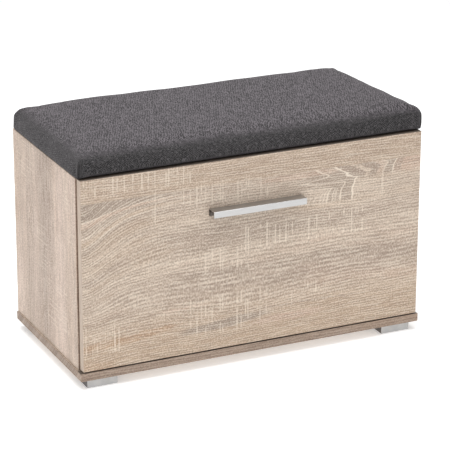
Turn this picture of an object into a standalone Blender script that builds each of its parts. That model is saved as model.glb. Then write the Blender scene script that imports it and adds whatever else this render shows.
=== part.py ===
"""Entryway bench: a chipboard shoe cabinet with a bottom-hinged flap and an upholstered seat.

Metres, +Z up. X runs along the bench, the front faces -Y, and the feet stand on Z = 0.
"""

import math

import bmesh
import bpy
from mathutils import Matrix, Vector

# Overall sizes of the cabinet
WIDTH = 0.700
DEPTH = 0.340
SIDE_HEIGHT = 0.374
BASE_OVERHANG = 0.003

# Boards
BOARD = 0.016
SHELF_BOARD = 0.016
SEAT_BOARD = 0.016
BACK_BOARD = 0.003
EDGE_ROUND = 0.0007
FIT = 0.0003  # space left between pieces that touch

# Flap and the gaps around it
FLAP_BOARD = 0.016
FLAP_REVEAL = 0.002
FLAP_GAP_SIDE = 0.003
FLAP_GAP_BASE = 0.0025
FLAP_DROP = 0.0
AXIS_FROM_BACK = 0.011
AXIS_FROM_EDGE = 0.006

# Feet
FOOT_HEIGHT = 0.018
FOOT_WIDTH = 0.061
FOOT_DEPTH = 0.045
FOOT_SETBACK = 0.008
FOOT_END_INSET = 0.012
FOOT_ROUND = 0.0015

# Rails under the seat
RAIL_DEPTH = 0.070
RAIL_SETBACK = 0.004
CAM_FROM_END = 0.034
CAM_RADIUS = 0.0075
CAM_LENGTH = 0.012

# Shelf, which hangs just over the guide of the stay
SHELF_OVER_GUIDE = 0.0014
SHELF_SETBACK = 0.020
SHELF_END_GAP = 0.001
SHELF_PIN_RADIUS = 0.0025
SHELF_PIN_LENGTH = 0.016
SHELF_PIN_SETBACK = 0.040

# Seat
CUSHION_WIDTH = 0.704
CUSHION_DEPTH = 0.340
CUSHION_HEIGHT = 0.044
CUSHION_LIFT = 0.002
CUSHION_ROUND = 0.016
SEAT_BOARD_INSET = 0.020
SEAT_SCREW_X = 0.200

# Handle: an aluminium channel, open downwards
HANDLE_LENGTH = 0.190
HANDLE_REACH = 0.0225
HANDLE_LIP = 0.0120
HANDLE_WALL = 0.0025
HANDLE_FLANGE = 0.004
HANDLE_FLANGE_HEIGHT = 0.013
HANDLE_FROM_TOP = 0.090
HANDLE_SCREW_X = 0.064
HANDLE_SCREW_BITE = 0.0022

# Cup hinges
HINGE_X = 0.250
CUP_RADIUS = 0.0172
CUP_WALL = 0.0007
CUP_FLOOR = 0.0005
CUP_FLANGE_RADIUS = 0.0195
CUP_FLANGE = 0.0008
CUP_EDGE_DISTANCE = 0.003
PIN_RADIUS = 0.00075
PIN_LENGTH = 0.012
KNUCKLE_RADIUS = 0.0017
KNUCKLE_CLEARANCE = 0.0001
NECK_WIDTH = 0.006
NECK_WALL = 0.002
NECK_RISE = 0.0155
ARM_DROP = 0.015
ARM_REACH = 0.056
ARM_WIDTH = 0.012
PLATE_THICKNESS = 0.0035
PLATE_WIDTH = 0.044
PLATE_LENGTH = 0.030
PLATE_SCREW_X = 0.016

# Quadrant stay
STAY_RADIUS = 0.140
STAY_BAR = 0.008
STAY_THICKNESS = 0.002
STAY_FROM_SIDE = 0.009
STAY_END_ANGLE = math.radians(86.0)
STAY_STOP_RADIUS = 0.005
STAY_STOP_WIDTH = 0.006
STAY_TAB_WIDTH = 0.018
STAY_TAB_HEIGHT = 0.030
STAY_TAB_SCREW = 0.009
GUIDE_FROM_AXIS = 0.0265
GUIDE_LENGTH = 0.010
GUIDE_HEIGHT = 0.018
GUIDE_DEPTH = 0.014
GUIDE_FLANGE = 0.0025
GUIDE_FLANGE_HEIGHT = 0.038
GUIDE_SCREW = 0.014
GUIDE_CLEARANCE = 0.0006

# Magnetic catch
CATCH_WIDTH = 0.046
CATCH_DEPTH = 0.022
CATCH_HEIGHT = 0.012
STRIKE_THICKNESS = 0.001
STRIKE_WIDTH = 0.038
STRIKE_HEIGHT = 0.011

# Screws: head radius, head height, shank radius and length under the head
BODY_SCREW = (0.0045, 0.0030, 0.0025, 0.0480)
FOOT_SCREW = (0.0040, 0.0025, 0.0018, 0.0200)
SEAT_SCREW = (0.0042, 0.0025, 0.0020, 0.0270)
PLATE_SCREW = (0.0034, 0.0018, 0.0016, 0.0130)
HANDLE_SCREW = (0.0042, 0.0024, 0.0019, FLAP_BOARD + FIT + HANDLE_SCREW_BITE)
STAY_SCREW = (0.0030, 0.0016, 0.0014, 0.0110)
BODY_SCREW_Y = 0.090
FOOT_BORE = 0.0052

ROUND_STEPS = 24
SCREW_STEPS = 16
CUP_STEPS = 32

# Levels and faces that follow from the sizes above
HALF_WIDTH = WIDTH / 2.0
FRONT = (HANDLE_REACH - DEPTH) / 2.0
REAR = FRONT + DEPTH - BACK_BOARD
BASE_BOTTOM = FOOT_HEIGHT
BASE_TOP = BASE_BOTTOM + BOARD
SIDE_TOP = BASE_TOP + SIDE_HEIGHT
SIDE_INNER = HALF_WIDTH - BOARD
FLAP_BACK = FRONT + FLAP_BOARD
SIDE_FRONT = FLAP_BACK + FLAP_GAP_SIDE
FLAP_BOTTOM = BASE_TOP + FLAP_GAP_BASE
FLAP_TOP = SIDE_TOP - FLAP_DROP
AXIS = Vector((0.0, FLAP_BACK - AXIS_FROM_BACK, FLAP_BOTTOM + AXIS_FROM_EDGE))
RAIL_BOTTOM = SIDE_TOP - BOARD
RAIL_FRONT = SIDE_FRONT + RAIL_SETBACK
SEAT_BOARD_BOTTOM = SIDE_TOP + FIT
CUSHION_BOTTOM = SIDE_TOP + CUSHION_LIFT
CUSHION_Y = FRONT + CUSHION_DEPTH / 2.0
HANDLE_TOP = FLAP_TOP - HANDLE_FROM_TOP
CUP_DEPTH = AXIS_FROM_BACK + KNUCKLE_RADIUS + FIT + CUP_FLOOR
CUP_Z = FLAP_BOTTOM + CUP_EDGE_DISTANCE + CUP_RADIUS
STAY_X = SIDE_INNER - STAY_FROM_SIDE
GUIDE_ANGLE = math.asin(GUIDE_FROM_AXIS / STAY_RADIUS)
GUIDE_REACH = STAY_RADIUS + GUIDE_FLANGE_HEIGHT / 2.0
GUIDE_TOP = AXIS.z + GUIDE_REACH * math.cos(GUIDE_ANGLE) + GUIDE_LENGTH / 2.0 * math.sin(GUIDE_ANGLE)
SHELF_FRONT = SIDE_FRONT + SHELF_SETBACK
SHELF_BOTTOM = GUIDE_TOP + SHELF_OVER_GUIDE
SHELF_TOP = SHELF_BOTTOM + SHELF_BOARD

TURN_ALONG_X = Matrix.Rotation(math.radians(90.0), 4, "Y")
TURN_ALONG_Y = Matrix.Rotation(math.radians(-90.0), 4, "X")
TURN_DOWN = Matrix.Rotation(math.radians(180.0), 4, "X")
UPRIGHT = Matrix.Identity(4)


def clear_scene():
    for item in list(bpy.data.objects):
        bpy.data.objects.remove(item, do_unlink=True)


def new_collection(name):
    collection = bpy.data.collections.new(name)
    bpy.context.scene.collection.children.link(collection)
    return collection


def make_material(name, colour, roughness, metallic=0.0):
    material = bpy.data.materials.new(name)
    material.use_nodes = True
    shader = material.node_tree.nodes["Principled BSDF"]
    shader.inputs["Base Color"].default_value = (*colour, 1.0)
    shader.inputs["Roughness"].default_value = roughness
    shader.inputs["Metallic"].default_value = metallic
    material.diffuse_color = (*colour, 1.0)
    return material


def add_object(name, mesh, material):
    item = bpy.data.objects.new(name, mesh)
    BENCH.objects.link(item)
    mesh.materials.append(material)
    return item


def mesh_from(name, shape):
    mesh = bpy.data.meshes.new(name)
    bmesh.ops.recalc_face_normals(shape, faces=shape.faces)
    shape.to_mesh(mesh)
    shape.free()
    return mesh


def box_mesh(name, size):
    shape = bmesh.new()
    bmesh.ops.create_cube(shape, size=1.0, matrix=Matrix.Diagonal((*size, 1.0)))
    return mesh_from(name, shape)


def add_box(name, low, high, material, rounding=0.0, segments=1):
    """A board or block between two opposite corners."""
    low = Vector(low)
    high = Vector(high)
    item = add_object(name, box_mesh(name, high - low), material)
    item.location = (low + high) / 2.0
    if rounding > 0.0:
        soften(item, rounding, segments)
    return item


def soften(item, width, segments):
    bevel = item.modifiers.new("edges", "BEVEL")
    bevel.width = width
    bevel.segments = segments
    bevel.limit_method = "ANGLE"
    bevel.angle_limit = math.radians(30.0)


def rod_mesh(name, radius, length, steps=ROUND_STEPS):
    shape = bmesh.new()
    bmesh.ops.create_cone(
        shape, cap_ends=True, segments=steps, radius1=radius, radius2=radius, depth=length
    )
    return mesh_from(name, shape)


def add_rod(name, radius, length, centre, turn, material):
    item = add_object(name, rod_mesh(name, radius, length), material)
    item.matrix_world = Matrix.Translation(centre) @ turn
    shade_round(item)
    return item


def shade_round(item):
    item.data.shade_smooth()
    item.data.set_sharp_from_angle(angle=math.radians(40.0))


def outline_mesh(name, outline, width):
    """A prism: the outline lies in the YZ plane and is extruded along X about its middle."""
    shape = bmesh.new()
    corners = [shape.verts.new((-width / 2.0, y, z)) for y, z in outline]
    face = shape.faces.new(corners)
    grown = bmesh.ops.extrude_face_region(shape, geom=[face])
    moved = [piece for piece in grown["geom"] if isinstance(piece, bmesh.types.BMVert)]
    bmesh.ops.translate(shape, verts=moved, vec=(width, 0.0, 0.0))
    return mesh_from(name, shape)


def turned_mesh(name, profile, steps):
    """A turned piece: the profile is (radius, height) points, swept round Z."""
    mesh = bpy.data.meshes.new(name)
    points = [(radius, 0.0, height) for radius, height in profile]
    edges = [(index, index + 1) for index in range(len(points) - 1)]
    mesh.from_pydata(points, edges, [])
    return mesh


def add_turned(name, profile, place, turn, material, steps=ROUND_STEPS):
    item = add_object(name, turned_mesh(name, profile, steps), material)
    item.matrix_world = Matrix.Translation(place) @ turn
    sweep = item.modifiers.new("sweep", "SCREW")
    sweep.axis = "Z"
    sweep.angle = math.radians(360.0)
    sweep.steps = steps
    sweep.render_steps = steps
    sweep.use_merge_vertices = True
    sweep.merge_threshold = 0.00001
    sweep.use_smooth_shade = False
    return item


def add_screw(name, size, seat, turn, material):
    """A screw whose head sits on the seat point and whose shank runs along the turned -Z."""
    head_radius, head_height, shank_radius, length = size
    profile = [
        (0.0, head_height),
        (head_radius * 0.6, head_height),
        (head_radius, head_height * 0.35),
        (head_radius, 0.0),
        (shank_radius, 0.0),
        (shank_radius, -length + shank_radius),
        (0.0, -length),
    ]
    return add_turned(name, profile, seat, turn, material, SCREW_STEPS)


def keep_cutter(name, mesh):
    cutter = bpy.data.objects.new(name, mesh)
    CUTTERS.objects.link(cutter)
    cutter.hide_render = True
    cutter.display_type = "WIRE"
    return cutter


def apply_boolean(item, cutter, operation):
    modifier = item.modifiers.new(cutter.name, "BOOLEAN")
    modifier.operation = operation
    modifier.solver = "EXACT"
    modifier.object = cutter
    return modifier


def drill(item, radius, start, direction, depth, steps=SCREW_STEPS):
    """A round hole that starts just outside the face at the start point."""
    start = Vector(start)
    direction = Vector(direction).normalized()
    outside = 0.001
    length = depth + outside
    name = item.name + "_hole_" + str(len(item.modifiers))
    cutter = keep_cutter(name, rod_mesh(name, radius, length, steps))
    centre = start + direction * (depth - outside) / 2.0
    turn = direction.to_track_quat("Z", "Y").to_matrix().to_4x4()
    cutter.matrix_world = Matrix.Translation(centre) @ turn
    apply_boolean(item, cutter, "DIFFERENCE")


def cut_box(item, low, high):
    low = Vector(low)
    high = Vector(high)
    name = item.name + "_cut_" + str(len(item.modifiers))
    cutter = keep_cutter(name, box_mesh(name, high - low))
    cutter.location = (low + high) / 2.0
    apply_boolean(item, cutter, "DIFFERENCE")
    return cutter


def join_shape(item, mesh, place):
    cutter = keep_cutter(mesh.name, mesh)
    cutter.matrix_world = place
    apply_boolean(item, cutter, "UNION")


def hang_on(item, pivot):
    """Keep the world place of a piece while it becomes part of the moving flap."""
    world = item.matrix_world.copy()
    if item.matrix_world == Matrix.Identity(4):
        world = item.matrix_basis.copy()
    item.parent = pivot
    item.matrix_basis = Matrix.Translation(-pivot.location) @ world


def mirrored_sides():
    return (("left", -1.0), ("right", 1.0))


def front_and_back():
    return (("front", -1.0), ("back", 1.0))


# ---------------------------------------------------------------- carcass


def foot_centre(side, end):
    x = side * (HALF_WIDTH - FOOT_END_INSET - FOOT_WIDTH / 2.0)
    if end < 0.0:
        return Vector((x, FRONT + FOOT_SETBACK + FOOT_DEPTH / 2.0, 0.0))
    return Vector((x, REAR - FOOT_SETBACK - FOOT_DEPTH / 2.0, 0.0))


def foot_bore_depth():
    """The foot screw goes in to where half its length is in the base."""
    return BASE_BOTTOM - FOOT_SCREW[3] / 2.0


def make_base(oak):
    base = add_box(
        "base_panel",
        (-HALF_WIDTH - BASE_OVERHANG, FRONT, BASE_BOTTOM),
        (HALF_WIDTH + BASE_OVERHANG, REAR, BASE_TOP),
        oak,
        EDGE_ROUND,
    )
    for _, side in mirrored_sides():
        for _, end in front_and_back():
            x = side * (HALF_WIDTH - BOARD / 2.0)
            y = end * BODY_SCREW_Y
            drill(base, BODY_SCREW[2] + FIT, (x, y, BASE_BOTTOM), (0, 0, 1), BOARD + 0.001)
            drill(base, BODY_SCREW[0] + FIT, (x, y, BASE_BOTTOM), (0, 0, 1), BODY_SCREW[1])
            centre = foot_centre(side, end)
            start = (centre.x, centre.y, BASE_BOTTOM)
            drill(base, FOOT_SCREW[2] + FIT, start, (0, 0, 1), FOOT_SCREW[3] / 2.0 + 0.001)
        for offset in (-PLATE_SCREW_X, PLATE_SCREW_X):
            start = (side * HINGE_X + offset, plate_centre_y(), BASE_TOP)
            drill(base, PLATE_SCREW[2] + FIT, start, (0, 0, -1), PLATE_SCREW[3] - PLATE_THICKNESS + 0.001)
    return base


def make_side(word, side, oak):
    inner = side * SIDE_INNER
    outer = side * HALF_WIDTH
    panel = add_box(
        "side_panel_" + word,
        (min(inner, outer), SIDE_FRONT, BASE_TOP + FIT),
        (max(inner, outer), REAR, SIDE_TOP),
        oak,
        EDGE_ROUND,
    )
    for _, end in front_and_back():
        start = (side * (HALF_WIDTH - BOARD / 2.0), end * BODY_SCREW_Y, BASE_TOP + FIT)
        drill(panel, BODY_SCREW[2] + FIT, start, (0, 0, 1), BODY_SCREW[3] - BOARD + 0.004)
        start = (inner, shelf_pin_y(end), shelf_pin_z())
        drill(panel, SHELF_PIN_RADIUS + FIT, start, (side, 0, 0), SHELF_PIN_LENGTH / 2.0 + 0.0005)
    if side > 0.0:
        for offset in (-GUIDE_SCREW, GUIDE_SCREW):
            place = guide_point(offset)
            start = (inner, place.y, place.z)
            depth = STAY_SCREW[3] - GUIDE_FLANGE + 0.001
            drill(panel, STAY_SCREW[2] + FIT, start, (side, 0, 0), depth)
    return panel


def make_back(hdf):
    return add_box(
        "back_panel",
        (-HALF_WIDTH + 0.001, REAR + FIT, BASE_BOTTOM + 0.002),
        (HALF_WIDTH - 0.001, REAR + BACK_BOARD, SIDE_TOP - 0.001),
        hdf,
    )


def rail_front_y(end):
    if end < 0.0:
        return RAIL_FRONT
    return REAR - RAIL_DEPTH


def make_rail(word, end, oak):
    front = rail_front_y(end)
    rail = add_box(
        "top_rail_" + word,
        (-SIDE_INNER + FIT, front, RAIL_BOTTOM),
        (SIDE_INNER - FIT, front + RAIL_DEPTH, SIDE_TOP),
        oak,
        EDGE_ROUND,
    )
    middle = front + RAIL_DEPTH / 2.0
    for _, side in mirrored_sides():
        start = (side * (SIDE_INNER - CAM_FROM_END), middle, RAIL_BOTTOM)
        drill(rail, CAM_RADIUS + FIT, start, (0, 0, 1), CAM_LENGTH + FIT)
        start = (side * SEAT_SCREW_X, middle, RAIL_BOTTOM)
        drill(rail, SEAT_SCREW[2] + FIT, start, (0, 0, 1), BOARD + 0.001)
    return rail


def make_cams(zinc):
    for word, end in front_and_back():
        middle = rail_front_y(end) + RAIL_DEPTH / 2.0
        for name, side in mirrored_sides():
            add_turned(
                "cam_lock_" + word + "_" + name,
                [
                    (0.0, CAM_LENGTH),
                    (CAM_RADIUS - 0.0005, CAM_LENGTH),
                    (CAM_RADIUS, CAM_LENGTH - 0.0005),
                    (CAM_RADIUS, 0.0),
                    (0.003, 0.0),
                    (0.002, 0.002),
                    (0.0, 0.002),
                ],
                (side * (SIDE_INNER - CAM_FROM_END), middle, RAIL_BOTTOM),
                UPRIGHT,
                zinc,
            )


def shelf_pin_y(end):
    if end < 0.0:
        return SHELF_FRONT + SHELF_PIN_SETBACK
    return REAR - SHELF_PIN_SETBACK


def shelf_pin_z():
    return SHELF_BOTTOM - FIT - SHELF_PIN_RADIUS


def make_shelf(oak, zinc):
    reach = SIDE_INNER - SHELF_END_GAP
    add_box(
        "inner_shelf",
        (-reach, SHELF_FRONT, SHELF_BOTTOM),
        (reach, REAR - FIT, SHELF_TOP),
        oak,
        EDGE_ROUND,
    )
    for word, end in front_and_back():
        for name, side in mirrored_sides():
            add_rod(
                "shelf_pin_" + word + "_" + name,
                SHELF_PIN_RADIUS,
                SHELF_PIN_LENGTH,
                (side * SIDE_INNER, shelf_pin_y(end), shelf_pin_z()),
                TURN_ALONG_X,
                zinc,
            )


def make_feet(silver, zinc):
    for word, end in front_and_back():
        for name, side in mirrored_sides():
            centre = foot_centre(side, end)
            half = Vector((FOOT_WIDTH / 2.0, FOOT_DEPTH / 2.0, 0.0))
            foot = add_box(
                "foot_" + word + "_" + name,
                centre - half,
                centre + half + Vector((0.0, 0.0, FOOT_HEIGHT - FIT)),
                silver,
                FOOT_ROUND,
                2,
            )
            depth = foot_bore_depth()
            drill(foot, FOOT_SCREW[2] + FIT, centre, (0, 0, 1), FOOT_HEIGHT + 0.002)
            drill(foot, FOOT_BORE, centre, (0, 0, 1), depth)
            seat = Vector((centre.x, centre.y, depth))
            add_screw("foot_screw_" + word + "_" + name, FOOT_SCREW, seat - gap_z(), TURN_DOWN, zinc)


def gap_z():
    return Vector((0.0, 0.0, FIT))


def make_body_screws(zinc):
    for word, end in front_and_back():
        for name, side in mirrored_sides():
            x = side * (HALF_WIDTH - BOARD / 2.0)
            seat = Vector((x, end * BODY_SCREW_Y, BASE_BOTTOM + BODY_SCREW[1]))
            add_screw("body_screw_" + word + "_" + name, BODY_SCREW, seat - gap_z(), TURN_DOWN, zinc)


# ------------------------------------------------------------------- seat


def make_seat(fabric, board_material, zinc):
    half_x = CUSHION_WIDTH / 2.0
    half_y = CUSHION_DEPTH / 2.0
    board_x = half_x - SEAT_BOARD_INSET
    board_y = half_y - SEAT_BOARD_INSET
    board_top = SEAT_BOARD_BOTTOM + SEAT_BOARD
    board = add_box(
        "seat_board",
        (-board_x, CUSHION_Y - board_y, SEAT_BOARD_BOTTOM),
        (board_x, CUSHION_Y + board_y, board_top),
        board_material,
    )
    cushion = add_box(
        "seat_cushion",
        (-half_x, CUSHION_Y - half_y, CUSHION_BOTTOM),
        (half_x, CUSHION_Y + half_y, CUSHION_BOTTOM + CUSHION_HEIGHT),
        fabric,
        CUSHION_ROUND,
        4,
    )
    cut_box(
        cushion,
        (-board_x - FIT, CUSHION_Y - board_y - FIT, CUSHION_BOTTOM - 0.01),
        (board_x + FIT, CUSHION_Y + board_y + FIT, board_top + FIT),
    )
    for word, end in front_and_back():
        middle = rail_front_y(end) + RAIL_DEPTH / 2.0
        for name, side in mirrored_sides():
            x = side * SEAT_SCREW_X
            start = (x, middle, SEAT_BOARD_BOTTOM)
            depth = SEAT_SCREW[3] - BOARD + 0.001
            drill(board, SEAT_SCREW[2] + FIT, start, (0, 0, 1), depth)
            seat = Vector((x, middle, RAIL_BOTTOM)) - gap_z()
            add_screw("seat_screw_" + word + "_" + name, SEAT_SCREW, seat, TURN_DOWN, zinc)


# ----------------------------------------------------------------- hinges


def plate_centre_y():
    return AXIS.y + ARM_REACH - PLATE_LENGTH / 2.0


def arm_outline():
    """Side view of the hinge arm about the flap's axis: knuckle, neck, drop and foot."""
    half = NECK_WALL / 2.0
    foot_low = BASE_TOP + PLATE_THICKNESS + FIT * 2.0 - AXIS.z
    foot_high = foot_low + NECK_WALL
    outline = []
    first = math.asin(half / KNUCKLE_RADIUS)
    steps = 14
    for index in range(steps + 1):
        angle = first + (2.0 * math.pi - 2.0 * first) * index / steps
        outline.append((KNUCKLE_RADIUS * math.sin(angle), KNUCKLE_RADIUS * math.cos(angle)))
    outline += [
        (-half, NECK_RISE),
        (ARM_DROP + NECK_WALL, NECK_RISE),
        (ARM_DROP + NECK_WALL, foot_high),
        (ARM_REACH, foot_high),
        (ARM_REACH, foot_low),
        (ARM_DROP, foot_low),
        (ARM_DROP, NECK_RISE - NECK_WALL),
        (half, NECK_RISE - NECK_WALL),
    ]
    return outline


def make_hinge(word, side, pivot, nickel, zinc):
    x = side * HINGE_X
    place = Vector((x, AXIS.y, AXIS.z))
    arm = add_object("hinge_arm_" + word, outline_mesh("hinge_arm_" + word, arm_outline(), NECK_WIDTH), nickel)
    arm.location = place
    foot_low = BASE_TOP + PLATE_THICKNESS + FIT * 2.0
    wide = box_mesh("hinge_arm_foot_" + word, (ARM_WIDTH, ARM_REACH - ARM_DROP, NECK_WALL))
    middle = Vector((x, AXIS.y + (ARM_REACH + ARM_DROP) / 2.0, foot_low + NECK_WALL / 2.0))
    join_shape(arm, wide, Matrix.Translation(middle))
    bore = Vector((x - NECK_WIDTH / 2.0, AXIS.y, AXIS.z))
    drill(arm, PIN_RADIUS + KNUCKLE_CLEARANCE, bore, (1, 0, 0), NECK_WIDTH + 0.001)

    plate = add_box(
        "hinge_plate_" + word,
        (x - PLATE_WIDTH / 2.0, plate_centre_y() - PLATE_LENGTH / 2.0, BASE_TOP + FIT),
        (x + PLATE_WIDTH / 2.0, plate_centre_y() + PLATE_LENGTH / 2.0, BASE_TOP + FIT + PLATE_THICKNESS),
        nickel,
    )
    for name, offset in (("outer", side * PLATE_SCREW_X), ("inner", -side * PLATE_SCREW_X)):
        seat = Vector((x + offset, plate_centre_y(), BASE_TOP + FIT + PLATE_THICKNESS))
        drill(plate, PLATE_SCREW[2] + FIT, seat, (0, 0, -1), PLATE_THICKNESS + 0.001)
        add_screw("plate_screw_" + word + "_" + name, PLATE_SCREW, seat + gap_z(), UPRIGHT, zinc)

    inner = CUP_RADIUS - CUP_WALL
    floor = -CUP_DEPTH + CUP_FLOOR
    cup = add_turned(
        "hinge_cup_" + word,
        [
            (0.0, floor),
            (inner, floor),
            (inner, FIT + CUP_FLANGE),
            (CUP_FLANGE_RADIUS, FIT + CUP_FLANGE),
            (CUP_FLANGE_RADIUS, FIT),
            (CUP_RADIUS, FIT),
            (CUP_RADIUS, -CUP_DEPTH),
            (0.0, -CUP_DEPTH),
        ],
        (x, FLAP_BACK, CUP_Z),
        TURN_ALONG_Y,
        nickel,
        CUP_STEPS,
    )
    pin = add_rod("hinge_pin_" + word, PIN_RADIUS, PIN_LENGTH, place, TURN_ALONG_X, zinc)
    return [cup, pin]


# ------------------------------------------------------------------- flap


def make_flap(oak):
    flap = add_box(
        "flap_front",
        (-HALF_WIDTH + FLAP_REVEAL, FRONT, FLAP_BOTTOM),
        (HALF_WIDTH - FLAP_REVEAL, FLAP_BACK, FLAP_TOP),
        oak,
        EDGE_ROUND,
    )
    for _, side in mirrored_sides():
        start = (side * HINGE_X, FLAP_BACK, CUP_Z)
        drill(flap, CUP_RADIUS + FIT, start, (0, -1, 0), CUP_DEPTH + FIT, CUP_STEPS)
        start = (side * HANDLE_SCREW_X, FRONT, handle_screw_z())
        drill(flap, HANDLE_SCREW[2] + FIT, start, (0, 1, 0), FLAP_BOARD + 0.001)
    for offset in (-STAY_TAB_SCREW, STAY_TAB_SCREW):
        start = (tab_x(), FLAP_BACK, tab_z() + offset)
        depth = STAY_SCREW[3] - STAY_THICKNESS + 0.001
        drill(flap, STAY_SCREW[2] + FIT, start, (0, -1, 0), depth)
    return flap


def handle_screw_z():
    return HANDLE_TOP - HANDLE_WALL - (HANDLE_FLANGE_HEIGHT - HANDLE_WALL) / 2.0


def make_handle(aluminium, zinc):
    back = FRONT - FIT
    front = FRONT - HANDLE_REACH
    low = HANDLE_TOP - HANDLE_FLANGE_HEIGHT
    round_off = 0.0008
    outline = [
        (back, HANDLE_TOP),
        (back, low),
        (back - HANDLE_FLANGE, low),
        (back - HANDLE_FLANGE, HANDLE_TOP - HANDLE_WALL),
        (front + HANDLE_WALL, HANDLE_TOP - HANDLE_WALL),
        (front + HANDLE_WALL, HANDLE_TOP - HANDLE_LIP),
        (front, HANDLE_TOP - HANDLE_LIP),
        (front, HANDLE_TOP - round_off),
        (front + round_off, HANDLE_TOP),
    ]
    handle = add_object("handle", outline_mesh("handle", outline, HANDLE_LENGTH), aluminium)
    pieces = [handle]
    for name, side in mirrored_sides():
        x = side * HANDLE_SCREW_X
        start = (x, back, handle_screw_z())
        drill(handle, HANDLE_SCREW[2] + FIT, start, (0, -1, 0), HANDLE_FLANGE + 0.001)
        seat = (x, FLAP_BACK + FIT, handle_screw_z())
        pieces.append(add_screw("handle_screw_" + name, HANDLE_SCREW, seat, TURN_ALONG_Y, zinc))
    return pieces


# ------------------------------------------------------------------- stay


def tab_x():
    return STAY_X - STAY_TAB_WIDTH / 2.0 + STAY_THICKNESS / 2.0


def tab_z():
    return AXIS.z + STAY_RADIUS


def on_arc(radius, angle):
    return (radius * math.sin(angle), radius * math.cos(angle))


def stay_outline():
    """The quadrant bar about the flap's axis, from the flap's back to its lower end."""
    first = math.asin((AXIS_FROM_BACK + FIT) / (STAY_RADIUS - STAY_BAR / 2.0)) + 0.004
    steps = 20
    outer = []
    inner = []
    for index in range(steps + 1):
        angle = first + (STAY_END_ANGLE - first) * index / steps
        outer.append(on_arc(STAY_RADIUS + STAY_BAR / 2.0, angle))
        inner.append(on_arc(STAY_RADIUS - STAY_BAR / 2.0, angle))
    return outer + inner[::-1]


def make_stay(nickel, zinc):
    stay = add_object("stay_quadrant", outline_mesh("stay_quadrant", stay_outline(), STAY_THICKNESS), nickel)
    stay.location = (STAY_X, AXIS.y, AXIS.z)
    tab = box_mesh("stay_tab", (STAY_TAB_WIDTH, STAY_THICKNESS, STAY_TAB_HEIGHT))
    middle = Vector((tab_x(), FLAP_BACK + FIT + STAY_THICKNESS / 2.0, tab_z()))
    join_shape(stay, tab, Matrix.Translation(middle))
    stop = rod_mesh("stay_stop", STAY_STOP_RADIUS, STAY_STOP_WIDTH, SCREW_STEPS)
    y, z = on_arc(STAY_RADIUS, STAY_END_ANGLE)
    join_shape(stay, stop, Matrix.Translation(Vector((STAY_X, AXIS.y + y, AXIS.z + z))) @ TURN_ALONG_X)
    pieces = [stay]
    for name, offset in (("lower", -STAY_TAB_SCREW), ("upper", STAY_TAB_SCREW)):
        # The screws stand beside the bar, so the head clears it.
        start = Vector((tab_x(), FLAP_BACK + FIT + STAY_THICKNESS, tab_z() + offset))
        drill(stay, STAY_SCREW[2] + FIT, start, (0, -1, 0), STAY_THICKNESS + 0.001)
        seat = start + Vector((0.0, FIT, 0.0))
        pieces.append(add_screw("stay_screw_" + name, STAY_SCREW, seat, TURN_ALONG_Y, zinc))
    return pieces


def guide_point(offset):
    y, z = on_arc(STAY_RADIUS + offset, GUIDE_ANGLE)
    return Vector((0.0, AXIS.y + y, AXIS.z + z))


def make_guide(plastic, zinc):
    turn = Matrix.Rotation(-GUIDE_ANGLE, 4, "X")
    middle = guide_point(0.0)
    flange_x = SIDE_INNER - FIT - GUIDE_FLANGE / 2.0
    size = (GUIDE_FLANGE, GUIDE_LENGTH, GUIDE_FLANGE_HEIGHT)
    guide = add_object("stay_guide", box_mesh("stay_guide", size), plastic)
    guide.matrix_world = Matrix.Translation((flange_x, middle.y, middle.z)) @ turn
    block = box_mesh("guide_block", (GUIDE_DEPTH, GUIDE_LENGTH, GUIDE_HEIGHT))
    block_x = SIDE_INNER - FIT - GUIDE_DEPTH / 2.0
    join_shape(guide, block, Matrix.Translation((block_x, middle.y, middle.z)) @ turn)
    slot_size = (
        STAY_THICKNESS + 2.0 * GUIDE_CLEARANCE,
        GUIDE_LENGTH + 0.004,
        STAY_BAR + 2.0 * GUIDE_CLEARANCE,
    )
    slot = keep_cutter("guide_slot", box_mesh("guide_slot", slot_size))
    slot.matrix_world = Matrix.Translation((STAY_X, middle.y, middle.z)) @ turn
    apply_boolean(guide, slot, "DIFFERENCE")
    for name, offset in (("lower", -GUIDE_SCREW), ("upper", GUIDE_SCREW)):
        place = guide_point(offset)
        start = Vector((SIDE_INNER - FIT - GUIDE_FLANGE, place.y, place.z))
        drill(guide, STAY_SCREW[2] + FIT, start, (1, 0, 0), GUIDE_FLANGE + 0.001)
        seat = start - Vector((FIT, 0.0, 0.0))
        turn_in = Matrix.Rotation(math.radians(-90.0), 4, "Y")
        add_screw("guide_screw_" + name, STAY_SCREW, seat, turn_in, zinc)


# ------------------------------------------------------------------ catch


def make_catch(plastic, zinc):
    catch_front = FLAP_BACK + FIT + STRIKE_THICKNESS + FIT
    top = RAIL_BOTTOM - FIT
    add_box(
        "magnetic_catch",
        (-CATCH_WIDTH / 2.0, catch_front, top - CATCH_HEIGHT),
        (CATCH_WIDTH / 2.0, catch_front + CATCH_DEPTH, top),
        plastic,
        0.001,
        2,
    )
    middle = top - CATCH_HEIGHT / 2.0
    return add_box(
        "strike_plate",
        (-STRIKE_WIDTH / 2.0, FLAP_BACK + FIT, middle - STRIKE_HEIGHT / 2.0),
        (STRIKE_WIDTH / 2.0, FLAP_BACK + FIT + STRIKE_THICKNESS, middle + STRIKE_HEIGHT / 2.0),
        zinc,
    )


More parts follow.
